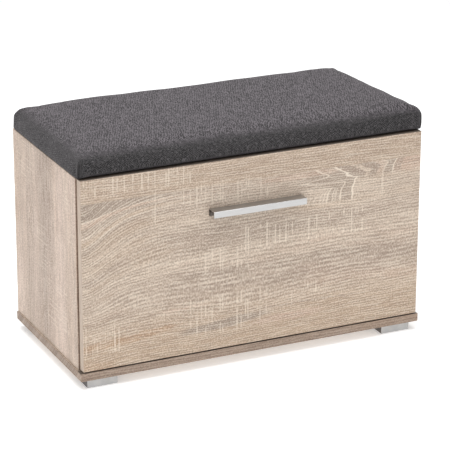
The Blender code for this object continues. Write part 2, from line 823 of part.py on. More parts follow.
def build():
    oak = make_material("oak_decor", (0.53, 0.42, 0.34), 0.55)
    hdf = make_material("hdf_back", (0.60, 0.52, 0.43), 0.7)
    raw_board = make_material("raw_chipboard", (0.45, 0.34, 0.22), 0.85)
    fabric = make_material("grey_fabric", (0.085, 0.08, 0.085), 0.95)
    silver = make_material("silver_plastic", (0.55, 0.55, 0.56), 0.4)
    aluminium = make_material("satin_aluminium", (0.66, 0.65, 0.64), 0.35, 1.0)
    nickel = make_material("nickel_steel", (0.62, 0.60, 0.57), 0.3, 1.0)
    zinc = make_material("zinc_steel", (0.60, 0.60, 0.60), 0.4, 1.0)
    plastic = make_material("white_plastic", (0.75, 0.75, 0.73), 0.45)

    pivot = bpy.data.objects.new("flap_pivot", None)
    BENCH.objects.link(pivot)
    pivot.location = AXIS

    make_base(oak)
    for word, side in mirrored_sides():
        make_side(word, side, oak)
    for word, end in front_and_back():
        make_rail(word, end, oak)
    make_back(hdf)
    make_shelf(oak, zinc)
    make_cams(zinc)
    make_feet(silver, zinc)
    make_body_screws(zinc)
    make_seat(fabric, raw_board, zinc)
    make_guide(plastic, zinc)

    moving = [make_flap(oak)]
    moving += make_handle(aluminium, zinc)
    for word, side in mirrored_sides():
        moving += make_hinge(word, side, pivot, nickel, zinc)
    moving += make_stay(nickel, zinc)
    moving.append(make_catch(plastic, zinc))
    bpy.context.view_layer.update()
    for item in moving:
        hang_on(item, pivot)


clear_scene()
BENCH = new_collection("entryway_bench")
CUTTERS = new_collection("cutters")
build()
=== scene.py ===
import math

import bmesh
import bpy
from mathutils import Matrix, Vector, noise


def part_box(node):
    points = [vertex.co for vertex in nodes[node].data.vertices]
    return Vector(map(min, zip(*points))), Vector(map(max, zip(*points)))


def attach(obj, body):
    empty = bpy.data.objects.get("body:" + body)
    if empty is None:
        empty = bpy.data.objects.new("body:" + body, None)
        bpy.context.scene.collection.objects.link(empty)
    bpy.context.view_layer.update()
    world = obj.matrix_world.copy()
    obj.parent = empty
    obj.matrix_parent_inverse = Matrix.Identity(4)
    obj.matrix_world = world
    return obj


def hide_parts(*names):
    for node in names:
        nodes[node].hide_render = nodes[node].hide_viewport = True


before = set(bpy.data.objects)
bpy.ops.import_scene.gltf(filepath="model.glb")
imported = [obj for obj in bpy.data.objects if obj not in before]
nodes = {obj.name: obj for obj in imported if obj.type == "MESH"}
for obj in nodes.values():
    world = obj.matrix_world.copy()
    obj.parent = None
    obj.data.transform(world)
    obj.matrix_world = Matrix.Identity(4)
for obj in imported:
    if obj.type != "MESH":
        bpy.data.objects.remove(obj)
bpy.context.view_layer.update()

# Corners of the CAD pieces that the looks line up with, in metres
FLAP_LOW, FLAP_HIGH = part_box("flap_front")
BASE_LOW, BASE_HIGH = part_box("base_panel")
SIDE_LOW, SIDE_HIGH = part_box("side_panel_left")
PAD_LOW, PAD_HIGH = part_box("seat_cushion")
HANDLE_LOW, HANDLE_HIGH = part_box("handle")

# Seat cushion: the foam block
PAD_INSET = 0.001
PAD_SEAT_GAP = 0.0006
PAD_CORNER = 0.008
PAD_TOP_ROUND = 0.015
PAD_UNDER_ROUND = 0.007
PAD_SHOULDER = 0.0385
PAD_GRID = 0.005

# Seat cushion: the cover drawn over it. Corners are (left or right, front or back)
STAPLED_BELOW = SIDE_HIGH.z + 0.004
PAD_FRAMES = 20
PAD_MOST_MOVED = 0.006
PAD_CROWN = 0.0075
PAD_SINK_REACH = 0.026
PAD_SINKS = {(-1, -1): 0.0010, (1, -1): -0.0020, (-1, 1): 0.0008, (1, 1): 0.0}
PAD_PULLS = {(-1, -1): 0.0, (1, -1): -0.0025, (-1, 1): -0.0006, (1, 1): -0.0010}
PAD_RIGHT_LEAN = 0.012
PAD_RIGHT_LIFT = 0.0066
PAD_RIGHT_HIP = 0.0040
PAD_RIGHT_HIP_AT = -0.72
PAD_RIGHT_HIP_REACH = 0.20
PAD_FULLER_LEFT = 0.0030
PAD_FULLER_LEFT_AT = -0.55
PAD_FULLER_LEFT_REACH = 0.40
PAD_END_BULGE = 0.0048
PAD_SIDE_BULGE = 0.0020
PAD_LIFT = 0.0068
PAD_LIFT_REACH = 0.012
PAD_CORNER_DROP = 0.030
PAD_SLACK = 0.0014
PAD_RIPPLE = 0.0012
PAD_PINCH = 0.0022
PAD_PINCH_WIDTH = 0.0030
PAD_PINCH_REACH = 0.012

# Seat fabric
THREAD = 0.00125
SLUBS_PER_METRE = 205.0

# How deep an edge band's colour goes into the face beside it
EDGE_BAND = 0.0012

# Flap: how far below its top edge the two printed planks meet
FLAP_SEAM = 0.0465

# How far off a face a corner may be and still count as on it
HAIR = 0.001

# Camera
CAMERA_PLACE = (-1.8028, -3.8696, 1.7964)
CAMERA_AIM = (-0.0507, -0.1330, 0.2708)
CAMERA_ROLL = math.radians(0.17)
CAMERA_LENS = 189.6


# ---------------------------------------------------------------- shading


class Amount:
    """A number that changes over a surface. Arithmetic on it adds Math nodes."""

    def __init__(self, finish, socket):
        self.finish = finish
        self.socket = socket

    def __add__(self, other):
        return self.finish.maths("ADD", self, other)

    def __radd__(self, other):
        return self.finish.maths("ADD", other, self)

    def __sub__(self, other):
        return self.finish.maths("SUBTRACT", self, other)

    def __rsub__(self, other):
        return self.finish.maths("SUBTRACT", other, self)

    def __mul__(self, other):
        return self.finish.maths("MULTIPLY", self, other)

    def __rmul__(self, other):
        return self.finish.maths("MULTIPLY", other, self)

    def __truediv__(self, other):
        return self.finish.maths("DIVIDE", self, other)


class Finish:
    """A material under construction, on the coordinates of the piece that wears it."""

    def __init__(self, name, roughness=0.5, metallic=0.0):
        self.material = bpy.data.materials.new(name)
        self.material.use_nodes = True
        self.tree = self.material.node_tree
        self.shader = self.tree.nodes["Principled BSDF"]
        self.shader.inputs["Roughness"].default_value = roughness
        self.shader.inputs["Metallic"].default_value = metallic

    def feed(self, socket, value):
        if isinstance(value, Amount):
            value = value.socket
        if isinstance(value, bpy.types.NodeSocket):
            self.tree.links.new(value, socket)
        else:
            socket.default_value = value

    def node(self, kind, settings=None, values=None):
        made = self.tree.nodes.new("ShaderNode" + kind)
        for key, value in (settings or {}).items():
            setattr(made, key, value)
        for key, value in (values or {}).items():
            self.feed(made.inputs[key], value)
        return made

    def maths(self, operation, *values):
        made = self.node("Math", {"operation": operation}, dict(enumerate(values)))
        return Amount(self, made.outputs[0])

    def place(self):
        split = self.node("SeparateXYZ", values={0: self.node("TexCoord").outputs["Object"]})
        return [Amount(self, socket) for socket in split.outputs]

    def own_map(self, name):
        split = self.node("SeparateXYZ", values={0: self.node("UVMap", {"uv_map": name}).outputs[0]})
        return Amount(self, split.outputs[0]), Amount(self, split.outputs[1])

    def vector(self, x, y, z):
        return self.node("CombineXYZ", values={0: x, 1: y, 2: z}).outputs[0]

    def cloud(self, x, y, z, detail=2.0, rough=0.5):
        """Soft noise between 0 and 1, one unit to a blob."""
        values = {"Vector": self.vector(x, y, z), "Scale": 1.0, "Detail": detail, "Roughness": rough}
        return Amount(self, self.node("TexNoise", None, values).outputs[0])

    def specks(self, x, y, z):
        """Small cells with a chance value between 0 and 1 in each."""
        cells = self.node("TexVoronoi", None, {"Vector": self.vector(x, y, z), "Scale": 1.0})
        return Amount(self, self.node("SeparateColor", None, {0: cells.outputs["Color"]}).outputs[0])

    def ease(self, value, low, high):
        """0 below low, 1 above high, smooth between; the other way round if low is over high."""
        settings = {"interpolation_type": "SMOOTHSTEP", "clamp": True}
        values = {"Value": value, "From Min": low, "From Max": high}
        return Amount(self, self.node("MapRange", settings, values).outputs[0])

    def window(self, value, low, high, soft):
        """1 between low and high, falling to 0 within soft outside them."""
        return self.ease(value, low - soft, low) * self.ease(value, high + soft, high)

    def on_face(self, value, face, inward):
        """1 on a flat face of the piece; inward is 1 or -1, towards the piece."""
        return self.ease(value, face + inward * EDGE_BAND, face + inward * EDGE_BAND / 2.0)

    def hill(self, x, y, centre, reach):
        """A smooth hill of height 1."""
        across = (x - centre[0]) / reach[0]
        up = (y - centre[1]) / reach[1]
        return self.maths("EXPONENT", (across * across + up * up) * -1.0)

    def mix(self, first, second, amount, blend="MIX"):
        settings = {"data_type": "RGBA", "blend_type": blend, "clamp_factor": True}
        made = self.node("Mix", settings, {0: amount})
        for index, colour in ((6, first), (7, second)):
            if isinstance(colour, tuple):
                colour = (*colour, 1.0)
            self.feed(made.inputs[index], colour)
        return made.outputs[2]

    def colour(self, value):
        if isinstance(value, tuple):
            value = (*value, 1.0)
        self.feed(self.shader.inputs["Base Color"], value)

    def bump(self, height, distance, strength=1.0):
        values = {"Height": height, "Distance": distance, "Strength": strength}
        self.feed(self.shader.inputs["Normal"], self.node("Bump", None, values).outputs[0])


# The colours of the oak print
OAK_LIGHT = (0.66, 0.54, 0.43)
OAK_MID = (0.53, 0.42, 0.335)
OAK_DARK = (0.37, 0.285, 0.225)
OAK_GREY = (0.350, 0.275, 0.218)
OAK_PINK = (0.55, 0.395, 0.305)
OAK_TAN = (0.54, 0.395, 0.275)
OAK_PALE = (0.83, 0.73, 0.61)
OAK_PORE = (0.20, 0.145, 0.11)


def oak_line(finish, along, across, seed, flow):
    """Which line of the grain a point lies on. Grain runs with the first coordinate, and flow bends it."""
    slow = finish.cloud(along * 1.5, across * 5.0, seed, 2.0) - 0.5
    quick = finish.cloud(along * 9.0, across * 24.0, seed + 3.7, 2.0) - 0.5
    return across + slow * 0.045 + quick * 0.004 + flow


def oak_tone(finish, along, line, seed):
    """The broad bands of the print, from grey-brown through pink and tan to pale."""
    bands = finish.cloud(along * 1.4, line * 30.0, seed + 1.3, 3.0, 0.55)
    streaks = finish.cloud(along * 4.0, line * 110.0, seed + 2.9, 3.0, 0.6)
    warm = finish.cloud(along * 2.4, line * 22.0, seed + 11.9, 2.0)
    base = finish.mix(OAK_DARK, OAK_LIGHT, finish.ease(bands, 0.20, 0.80))
    base = finish.mix(base, OAK_MID, 0.25)
    base = finish.mix(base, OAK_PINK, finish.ease(warm, 0.54, 0.72) * 0.45)
    base = finish.mix(base, OAK_TAN, finish.ease(warm, 0.44, 0.30) * 0.40)
    base = finish.mix(base, OAK_DARK, finish.ease(streaks, 0.54, 0.76) * 0.18)
    return finish.mix(base, OAK_PALE, finish.ease(streaks, 0.46, 0.24) * 0.16)


def oak_fibre(finish, base, along, line, seed):
    """Thin wavy pores and pale ridges over the tones, with their relief."""
    drift = finish.cloud(along * 13.0, line * 40.0, seed + 5.1, 2.0)
    rows = finish.maths("SINE", line * (math.tau * 200.0) + drift * 6.0)
    broken = finish.cloud(along * 26.0, line * 240.0, seed + 8.3, 1.0)
    ridge = finish.cloud(along * 30.0, line * 260.0, seed + 6.6, 1.0)
    dust = finish.cloud(along * 330.0, line * 420.0, seed + 9.9, 0.0)
    pores = finish.ease(rows * 0.16 + broken, 0.50, 0.70)
    pale = finish.ease(ridge - rows * 0.16, 0.50, 0.72)
    base = finish.mix(base, OAK_PORE, pores * 0.34)
    base = finish.mix(base, OAK_PALE, pale * 0.36)
    base = finish.mix(base, OAK_PORE, finish.ease(dust, 0.50, 0.72) * 0.34)
    base = finish.mix(base, OAK_PALE, finish.ease(dust, 0.48, 0.28) * 0.34)
    return base, 0.6 - pores * 0.6 + pale * 0.3 - dust * 0.2, pores


def oak_grain(finish, along, across, seed):
    """The whole print for a board with no figure of its own."""
    line = oak_line(finish, along, across, seed, 0.0)
    return oak_fibre(finish, oak_tone(finish, along, line, seed), along, line, seed)


def saw_marks(finish, along, across, seed, places):
    """Pale cuts across the grain: groups of straight lines, with short dashes between them."""
    group = None
    for low, high, weight in places:
        part = finish.window(along, low[0], high[0], 0.012)
        part = part * finish.window(across, low[1], high[1], 0.008) * weight
        group = part if group is None else finish.maths("MAXIMUM", group, part)
    lines = finish.ease(finish.cloud(along * 230.0, seed, 0.0, 0.0), 0.52, 0.60)
    start = finish.ease(finish.cloud(along * 70.0, across * 28.0, seed + 4.0, 1.0), 0.42, 0.50)
    broken = finish.ease(finish.cloud(along * 40.0, across * 210.0, seed + 8.0, 1.0), 0.66, 0.50)
    dashes = finish.ease(finish.cloud(along * 60.0, across * 330.0, seed + 6.0, 0.0), 0.58, 0.66)
    near = finish.ease(finish.cloud(along * 40.0, across * 40.0, seed + 9.0, 1.0), 0.44, 0.60)
    return finish.maths("MAXIMUM", lines * start * (0.45 + 0.55 * broken), dashes * near * 0.55) * group


def close_oak(finish, colour, relief, pores):
    finish.colour(colour)
    finish.feed(finish.shader.inputs["Roughness"], 0.52 + pores * 0.16)
    finish.bump(relief, 0.00012, 0.35)
    return finish.material


def oak_flap():
    """The front: two printed planks, the lower with a cathedral figure, arcs and saw marks."""
    finish = Finish("oak_print_flap")
    x, y, z = finish.place()
    down = FLAP_HIGH.z - z
    lower = finish.ease(down, FLAP_SEAM - 0.0003, FLAP_SEAM + 0.0003)
    under = down - FLAP_SEAM

    # The grain climbs to the right near the left end, and swirls a little below that
    squeeze = 1.0 + 3.2 * finish.ease(x - FLAP_LOW.x, 0.0, 0.200)
    climb = 0.0795 - finish.maths("DIVIDE", 0.0795, squeeze)
    fan = finish.maths("MINIMUM", under * (squeeze - 1.0), climb)
    swirl = finish.hill(x, down, (-0.225, 0.190), (0.060, 0.030)) * 0.007
    arch = finish.hill(x, down, (-0.030, 0.292), (0.120, 0.045)) * 0.012
    flow = (swirl + arch - climb * (0.22 + 0.78 * finish.ease(down, 0.340, 0.090))) * lower
    seed = 2.0 + lower * 6.0
    line = oak_line(finish, x, z, seed, flow)
    base = oak_tone(finish, x, line, seed)
    base = finish.mix(base, (0.48, 0.355, 0.257), (1.0 - lower) * 0.66)
    base = finish.mix(base, OAK_MID, finish.ease(under, 0.060, 0.010) * lower * 0.55)
    base = finish.mix(base, (0.455, 0.325, 0.22), finish.ease(down, 0.240, 0.350) * 0.74)

    # Arcs under the seam, on the left
    edge = finish.cloud(x * 30.0, z * 90.0, 9.1, 3.0, 0.6) - 0.5
    arc = under + fan + edge * 0.004
    left = finish.ease(x, -0.050, -0.260) * lower
    for low, high, soft, tint, weight in (
        (-0.010, 0.033, 0.001, OAK_GREY, 0.80),
        (0.034, 0.037, 0.001, OAK_PALE, 0.45),
        (0.038, 0.046, 0.003, OAK_PINK, 0.75),
        (0.050, 0.062, 0.004, OAK_GREY, 0.40),
        (0.064, 0.067, 0.001, OAK_PALE, 0.35),
        (0.074, 0.082, 0.003, OAK_TAN, 0.45),
        (0.083, 0.086, 0.001, OAK_PALE, 0.30),
    ):
        base = finish.mix(base, tint, finish.window(arc, low, high, soft) * left * weight)

    # Cathedral figure: nested noses that point to the right, cut off by the seam
    wavy = finish.cloud(x * 45.0, z * 110.0, 4.4, 3.0, 0.6) - 0.5
    above = 0.0707 + (0.213 - x) * 0.30 - down
    rise = finish.maths("MAXIMUM", above, 0.0) * (1.3 + 1.5 * finish.ease(down, 0.060, 0.074))
    fall = 0.012 - 0.012 * finish.maths("EXPONENT", finish.maths("MINIMUM", above, 0.0) / 0.008)
    nose = x + rise + fall + wavy * 0.010
    figure = finish.ease(down, 0.120, 0.110) * finish.ease(x, 0.070, 0.130) * lower
    crown = finish.ease(down, 0.080, 0.068) * figure
    for low, high, soft, tint, weight, where in (
        (0.120, 0.156, 0.006, OAK_MID, 0.30, figure),
        (0.162, 0.185, 0.004, OAK_GREY, 0.50, figure),
        (0.191, 0.210, 0.003, OAK_GREY, 0.65, figure),
        (0.215, 0.231, 0.002, OAK_DARK, 0.85, crown),
        (0.233, 0.242, 0.002, OAK_LIGHT, 0.50, crown),
        (0.245, 0.262, 0.003, OAK_DARK, 0.90, crown),
        (0.264, 0.276, 0.003, OAK_PINK, 0.40, crown),
        (0.281, 0.297, 0.002, OAK_GREY, 0.75, crown),
        (0.301, 0.380, 0.002, OAK_PINK, 0.85, crown),
        (0.302, 0.316, 0.004, OAK_GREY, 0.50, crown),
    ):
        base = finish.mix(base, tint, finish.window(nose, low, high, soft) * where * weight)
    light = finish.hill(x, down, (0.235, 0.086), (0.032, 0.013)) * lower
    base = finish.mix(base, OAK_LIGHT, light * 0.60)

    # Wedges and lenses of other tones in the lower plank
    for centre, reach, lean, tint, weight in (
        ((-0.060, 0.322), (0.100, 0.0095), 0.08, OAK_GREY, 0.95),
        ((-0.280, 0.322), (0.130, 0.0085), 0.10, (0.44, 0.29, 0.185), 0.95),
        ((-0.150, 0.278), (0.060, 0.0030), 0.02, OAK_PINK, 0.60),
        ((0.070, 0.330), (0.080, 0.0080), 0.03, OAK_PINK, 0.75),
        ((-0.020, 0.130), (0.230, 0.0160), -0.02, OAK_DARK, 0.35),
        ((0.250, 0.135), (0.130, 0.0080), 0.02, OAK_MID, 0.40),
        ((0.095, 0.053), (0.090, 0.0070), 0.00, OAK_PINK, 0.70),
        ((-0.335, 0.365), (0.060, 0.0100), 0.00, (0.47, 0.32, 0.21), 0.70),
        ((0.100, 0.306), (0.170, 0.0016), -0.02, OAK_DARK, 0.70),
        ((0.060, 0.218), (0.230, 0.0100), -0.01, OAK_GREY, 0.30),
    ):
        lens = finish.hill(x, down + (x - centre[0]) * lean + edge * 0.012, centre, reach) * lower
        base = finish.mix(base, tint, finish.ease(lens, 0.25, 0.60) * weight)
    base, relief, pores = oak_fibre(finish, base, x, line, seed)
    inner = finish.ease(down, 0.084, 0.092) * figure
    for middle, weight, where in (
        (0.118, 0.5, inner),
        (0.130, 0.6, inner),
        (0.143, 0.6, inner),
        (0.151, 0.7, inner),
        (0.159, 1.0, figure),
        (0.171, 0.7, inner),
        (0.177, 0.6, inner),
        (0.188, 0.9, figure),
        (0.213, 1.2, figure),
        (0.278, 0.6, figure),
        (0.299, 0.9, crown),
    ):
        gap = finish.maths("ABSOLUTE", nose - middle)
        base = finish.mix(base, OAK_PALE, finish.ease(gap, 0.0026, 0.0008) * where * weight * 0.62)

    marks = saw_marks(
        finish,
        x,
        down,
        5.0,
        (
            ((-0.020, 0.138), (0.225, 0.178), 1.0),
            ((-0.100, 0.172), (0.000, 0.215), 0.8),
            ((-0.130, 0.268), (0.020, 0.335), 0.8),
            ((0.080, 0.270), (0.145, 0.306), 0.8),
            ((-0.345, 0.290), (-0.280, 0.336), 1.0),
            ((-0.340, 0.004), (-0.130, 0.030), 0.8),
            ((-0.150, 0.048), (0.030, 0.080), 0.7),
            ((-0.203, 0.048), (-0.190, 0.100), 1.0),
        ),
    )
    base = finish.mix(base, OAK_PALE, marks * 0.58)

    # The banded ends of the board are plainer, and its top edge gets painted shade, standing in for the
    # shadow under the cushion
    reach = FLAP_HIGH.x - 0.0008
    ends = finish.ease(finish.maths("ABSOLUTE", x), reach, reach + 0.0003)
    strips = finish.cloud(x, y * 500.0, z * 20.0, 2.0)
    band = finish.mix(OAK_LIGHT, OAK_MID, finish.ease(strips, 0.35, 0.65))
    base = finish.mix(base, finish.mix(band, OAK_GREY, 0.35), ends)
    # Painted shade: near black on the top edge face, under the cushion
    top = finish.ease(down, 0.0009, 0.0005)
    base = finish.mix(base, finish.mix(band, (0.045, 0.032, 0.025), 0.85), top)
    return close_oak(finish, base, relief, pores)


def oak_along(name, edge_tint):
    """Boards whose grain runs along the bench. An edge tint gives the base its rim, and painted shade in
    the gap under the flap.
    """
    finish = Finish(name)
    x, y, z = finish.place()
    base, relief, pores = oak_grain(finish, x, y + z * 0.9, 12.0)
    if edge_tint:
        front = finish.on_face(y, BASE_LOW.y, 1.0)
        end = finish.on_face(finish.maths("ABSOLUTE", x), BASE_HIGH.x, -1.0)
        rim = finish.maths("MAXIMUM", front, end)
        base = finish.mix(base, finish.mix(base, edge_tint, 1.0, "MULTIPLY"), rim)
        # Painted shade: a dark band on the base's top face, in the gap under the flap
        upper = finish.on_face(z, BASE_HIGH.z, -1.0)
        strip = upper * finish.ease(y, FLAP_LOW.y, FLAP_LOW.y + 0.001)
        strip = strip * finish.ease(y, FLAP_HIGH.y + 0.004, FLAP_HIGH.y)
        base = finish.mix(base, (0.06, 0.045, 0.035), strip * 0.85)
    return close_oak(finish, base, relief, pores)


def oak_upright():
    """Side panels: the grain stands up, in a pinker cut."""
    finish = Finish("oak_print_side")
    x, y, z = finish.place()
    flow = finish.hill(z, y, (0.250, 0.070), (0.060, 0.030)) * 0.020
    line = oak_line(finish, z, y + x * 0.8, 21.0, flow)
    base = oak_tone(finish, z, line, 21.0)
    wide = finish.cloud(z * 1.2, y * 16.0, 33.0, 2.0)
    base = finish.mix(base, OAK_GREY, finish.ease(wide, 0.52, 0.68) * 0.70)
    base = finish.mix(base, OAK_GREY, finish.window(y, 0.000, 0.085, 0.035) * 0.42)
    base = finish.mix(base, (0.74, 0.60, 0.50), finish.ease(wide, 0.48, 0.32) * 0.60)
    base = finish.mix(base, (0.76, 0.62, 0.52), finish.hill(z, y, (0.200, -0.060), (0.500, 0.022)) * 0.60)
    base, relief, pores = oak_fibre(finish, base, z, line, 21.0)
    base = finish.mix(base, (1.0, 0.965, 0.975), 1.0, "MULTIPLY")
    marks = saw_marks(
        finish,
        z,
        y,
        15.0,
        (
            ((0.080, -0.090), (0.160, 0.030), 0.8),
            ((0.280, -0.135), (0.390, -0.080), 0.7),
            ((0.330, 0.070), (0.395, 0.160), 0.7),
            ((0.180, 0.010), (0.260, 0.060), 0.7),
        ),
    )
    base = finish.mix(base, OAK_PALE, marks * 0.40)
    # Painted shade on the front edge face of the side panel, standing in for the shadow in the gap behind
    # the flap
    edge = finish.on_face(y, SIDE_LOW.y, 1.0)
    base = finish.mix(base, finish.mix(base, (0.55, 0.50, 0.46), 1.0, "MULTIPLY"), edge)
    return close_oak(finish, base, relief, pores)


def seat_fabric():
    """Flat-woven melange cloth: light and dark yarns in a plain weave."""
    finish = Finish("melange_weave", 0.92)
    u, v = finish.own_map("weave")
    x, _, z = finish.place()
    on_top = finish.ease(z, PAD_HIGH.z - 0.012, PAD_HIGH.z - 0.002)
    at_end = finish.ease(finish.maths("ABSOLUTE", x), PAD_HIGH.x - 0.010, PAD_HIGH.x - 0.004)
    turn = math.pi / THREAD
    weave = finish.maths("SINE", u * turn) * finish.maths("SINE", v * turn)
    warp = finish.cloud(u * 900.0, v * 120.0, 1.0, 2.0, 0.7)
    weft = finish.cloud(u * 120.0, v * 900.0, 2.0, 2.0, 0.7)
    upper = finish.ease(weave, -0.35, 0.35)
    yarn = warp * upper + weft * (1.0 - upper)

    # Slubs: short light and dark places in the yarn, longer across the seat
    jitter = finish.cloud(u * 70.0, v * 50.0, 5.5, 1.0) * 7.0
    crossing = finish.maths("SINE", u * (math.tau * SLUBS_PER_METRE) + jitter)
    rows = SLUBS_PER_METRE - 110.0 * at_end - 115.0 * on_top
    crossing = crossing * finish.maths("SINE", v * (math.tau * rows) - jitter)
    short = finish.specks(u * 420.0, v * (420.0 - at_end * 220.0), 6.0)
    long = finish.specks(u * 420.0, v * 190.0, 7.0)
    slub = short * (1.0 - on_top) + long * on_top
    slub = finish.ease(slub * 0.8 + 0.1 + crossing * 0.55, 0.28, 0.80)
    tone = slub * 0.85 + finish.ease(yarn, 0.36, 0.64) * 0.15
    # Painted light: the sides get a darker copy of the cloth colour and the top a lighter one, standing in
    # for the top being lit more than the sides
    shaded_sides_colour = finish.mix((0.0008, 0.0007, 0.0008), (0.066, 0.061, 0.063), tone)
    lit_top_colour = finish.mix((0.0010, 0.0008, 0.0010), (0.130, 0.115, 0.126), tone)
    colour = finish.mix(shaded_sides_colour, lit_top_colour, on_top)
    light_fleck = finish.ease(finish.specks(u * 460.0, v * 400.0, 8.0), 0.88, 0.94)
    colour = finish.mix(colour, (0.16, 0.150, 0.156), light_fleck * 0.40)
    wear = finish.cloud(u * 14.0, v * 14.0, 4.0, 2.0)
    colour = finish.mix(colour, (0.075, 0.068, 0.073), finish.ease(wear, 0.35, 0.75) * 0.10)
    # Painted shade in the crevices between the yarns of the weave
    crevice = finish.maths("ABSOLUTE", weave)
    colour = finish.mix(colour, (0.010, 0.009, 0.010), finish.ease(crevice, 0.22, 0.0) * 0.30)
    finish.colour(colour)
    finish.shader.inputs["Sheen Weight"].default_value = 0.12
    finish.shader.inputs["Sheen Roughness"].default_value = 0.45
    finish.shader.inputs["Sheen Tint"].default_value = (0.95, 0.88, 0.93, 1.0)
    finish.feed(finish.shader.inputs["Roughness"], 0.86 + tone * 0.10)
    finish.bump(crevice * 0.7 + yarn * 0.6 + slub * 0.8, 0.0005, 0.7)
    return finish.material


def brushed_metal(name, colour, roughness, run, painted_shade_mask=None):
    """Metal with fine lines along one axis, and painted shade where the given mask says."""
    finish = Finish(name, roughness, 1.0)
    place = finish.place()
    fine = [axis * 2600.0 for axis in place]
    fine[run] = place[run] * 40.0
    lines = finish.cloud(*fine, 2.0, 0.6)
    cloudy = finish.cloud(*[axis * 30.0 for axis in place], 2.0)
    dull = tuple(part * 0.86 for part in colour)
    shade = finish.mix(dull, colour, finish.ease(lines, 0.25, 0.70))
    if painted_shade_mask is not None:
        # Painted shade: a dark brown where the mask says, standing in for the shadow in the handle's
        # channel
        shade = finish.mix(shade, (0.10, 0.085, 0.075), painted_shade_mask(finish, *place))
    finish.colour(shade)
    finish.feed(finish.shader.inputs["Roughness"], roughness + (lines - 0.5) * 0.16 + (cloudy - 0.5) * 0.08)
    finish.bump(lines, 0.00003, 0.4)
    return finish.material


def handle_channel_shade(finish, x, y, z):
    """Painted shade on the hollow side of the handle, where the channel lies in shadow."""
    behind = finish.ease(y, HANDLE_LOW.y + 0.0012, HANDLE_LOW.y + 0.0018)
    return behind * finish.ease(z, HANDLE_HIGH.z - 0.0006, HANDLE_HIGH.z - 0.0012)


def off_front_faces(finish, y):
    """1 away from the front faces of the two rows of feet, where the colour turns darker."""
    rows = [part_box("foot_front_left")[0].y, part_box("foot_back_left")[0].y]
    faces = [finish.on_face(finish.maths("ABSOLUTE", y - row), 0.0, 1.0) for row in rows]
    return 1.0 - finish.maths("MAXIMUM", *faces)


def moulded_plastic(name, colour, roughness, grain, off_front_colour=None):
    """Moulded plastic with a fine spark-eroded grain, and a given darker colour on all but the front faces
    of the feet.
    """
    finish = Finish(name, roughness)
    place = finish.place()
    pebble = finish.cloud(*[axis * grain for axis in place], 2.0, 0.6)
    tone = finish.cloud(*[axis * 60.0 for axis in place], 2.0)
    shade = tuple(part * 0.88 for part in colour)
    face = finish.mix(shade, colour, finish.ease(tone, 0.3, 0.7))
    if off_front_colour is not None:
        face = finish.mix(face, off_front_colour, off_front_faces(finish, place[1]))
    finish.colour(face)
    finish.feed(finish.shader.inputs["Roughness"], roughness + (pebble - 0.5) * 0.2)
    finish.bump(pebble, 0.00006, 0.5)
    return finish.material


def pressed_board(name, light, dark, chip):
    """Raw chipboard or hardboard: flat flakes in glue."""
    finish = Finish(name, 0.8)
    x, y, z = finish.place()
    flakes = finish.cloud(x * chip, y * chip, z * chip, 4.0, 0.7)
    dust = finish.cloud(x * chip * 5.0, y * chip * 5.0, z * chip * 5.0, 2.0, 0.6)
    colour = finish.mix(dark, light, finish.ease(flakes, 0.35, 0.65))
    finish.colour(finish.mix(colour, dark, finish.ease(dust, 0.55, 0.8) * 0.4))
    finish.bump(flakes, 0.0001, 0.4)
    return finish.material


# ----------------------------------------------------------------- pieces


def start_piece():
    if bpy.context.mode != "OBJECT":
        bpy.ops.object.mode_set(mode="OBJECT")
    bpy.ops.object.select_all(action="DESELECT")


def add_block(name, low, high):
    start_piece()
    centre = [(a + b) / 2.0 for a, b in zip(low, high)]
    size = [b - a for a, b in zip(low, high)]
    bpy.ops.mesh.primitive_cube_add(size=1.0, location=centre, scale=size)
    piece = bpy.context.object
    piece.name = name
    bpy.ops.object.transform_apply(location=True, rotation=True, scale=True)
    return piece


def pick(piece, wanted):
    """Selects the edges whose two ends pass the test, in edit mode."""
    bpy.ops.object.mode_set(mode="EDIT")
    bpy.ops.mesh.select_mode(type="EDGE")
    bpy.ops.mesh.select_all(action="DESELECT")
    for edge in bmesh.from_edit_mesh(piece.data).edges:
        if wanted([corner.co for corner in edge.verts]):
            edge.select_set(True)
    bmesh.update_edit_mesh(piece.data)


def end_edit():
    bpy.ops.object.mode_set(mode="OBJECT")


def dress(piece, material):
    piece.data.materials.clear()
    piece.data.materials.append(material)


def apply_modifier(piece, kind, **settings):
    modifier = piece.modifiers.new(kind.lower(), kind)
    for key, value in settings.items():
        setattr(modifier, key, value)
    bpy.context.view_layer.objects.active = piece
    bpy.ops.object.modifier_apply(modifier=modifier.name)


def mean_y(points):
    return sum(point.y for point in points) / len(points)


def cushion_block():
    """The cut foam: rounded corners in plan and a soft upper edge."""
    low = Vector((PAD_LOW.x + PAD_INSET, PAD_LOW.y + PAD_INSET, SIDE_HIGH.z + PAD_SEAT_GAP))
    high = Vector((PAD_HIGH.x - PAD_INSET, PAD_HIGH.y - PAD_INSET, low.z + PAD_SHOULDER))
    pad = add_block("seat_pad", low, high)
    pick(pad, lambda ends: abs(ends[0].z - ends[1].z) > PAD_SHOULDER / 2.0)
    bpy.ops.mesh.bevel(offset=PAD_CORNER, segments=5)
    pick(pad, lambda ends: all(end.z > high.z - HAIR for end in ends))
    bpy.ops.mesh.bevel(offset=PAD_TOP_ROUND, segments=6)
    pick(pad, lambda ends: max(end.z for end in ends) < low.z + HAIR and mean_y(ends) < low.y + HAIR)
    bpy.ops.mesh.bevel(offset=PAD_UNDER_ROUND, segments=3)
    end_edit()
    apply_modifier(pad, "REMESH", mode="VOXEL", voxel_size=PAD_GRID, use_smooth_shade=True)
    return pad


